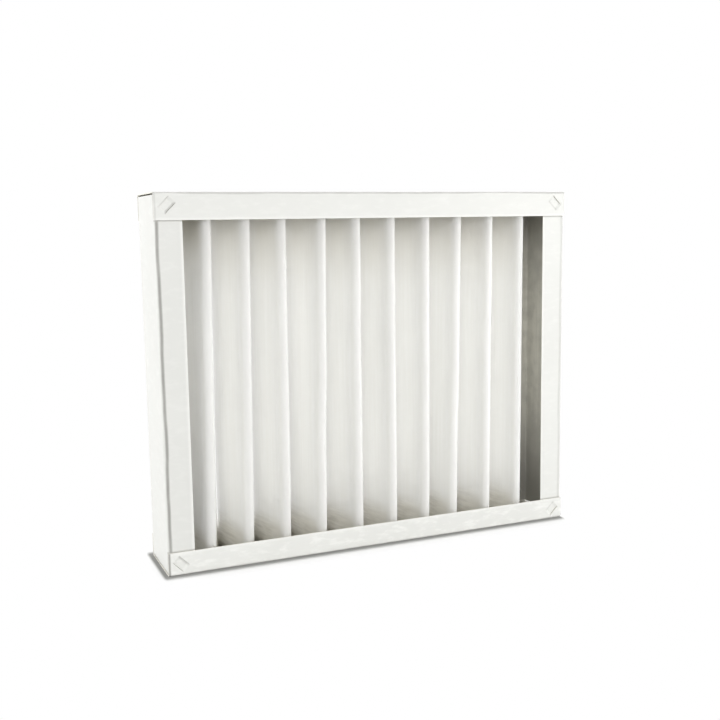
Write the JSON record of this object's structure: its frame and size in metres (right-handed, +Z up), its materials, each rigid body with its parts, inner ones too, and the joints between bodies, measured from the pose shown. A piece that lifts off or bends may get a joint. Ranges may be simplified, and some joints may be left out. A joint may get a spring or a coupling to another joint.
{
  "type": "pleated panel air filter",
  "caption": "Rectangular panel air filter: a white folded sheet-metal frame that holds a white fibre mat in deep upright pleats, with a wire support mesh behind.",
  "frame": {"origin": "middle of the bottom rail's underside, halfway across the width and through the depth", "axes": "+X across the width to the right as seen from the front, +Y through the depth from the front face to the air-leaving back, +Z up"},
  "size_m": [0.295, 0.048, 0.24],
  "materials": {
    "frame_sheet": "white satin coating outside, grey inside",
    "filter_mat": "white non-woven fibre mat",
    "mesh_wire": "dull zinc-coated wire",
    "adhesive": "dull hot-melt adhesive"
  },
  "bodies": {
    "root": {"top_rail": "frame_sheet", "bottom_rail": "frame_sheet", "left_rail": "frame_sheet", "right_rail": "frame_sheet", "pleated_media": "filter_mat", "support_mesh": "mesh_wire", "top_sealant": "adhesive", "bottom_sealant": "adhesive", "left_glue_strip": "adhesive", "right_glue_strip": "adhesive"}
  },
  "joints": []
}
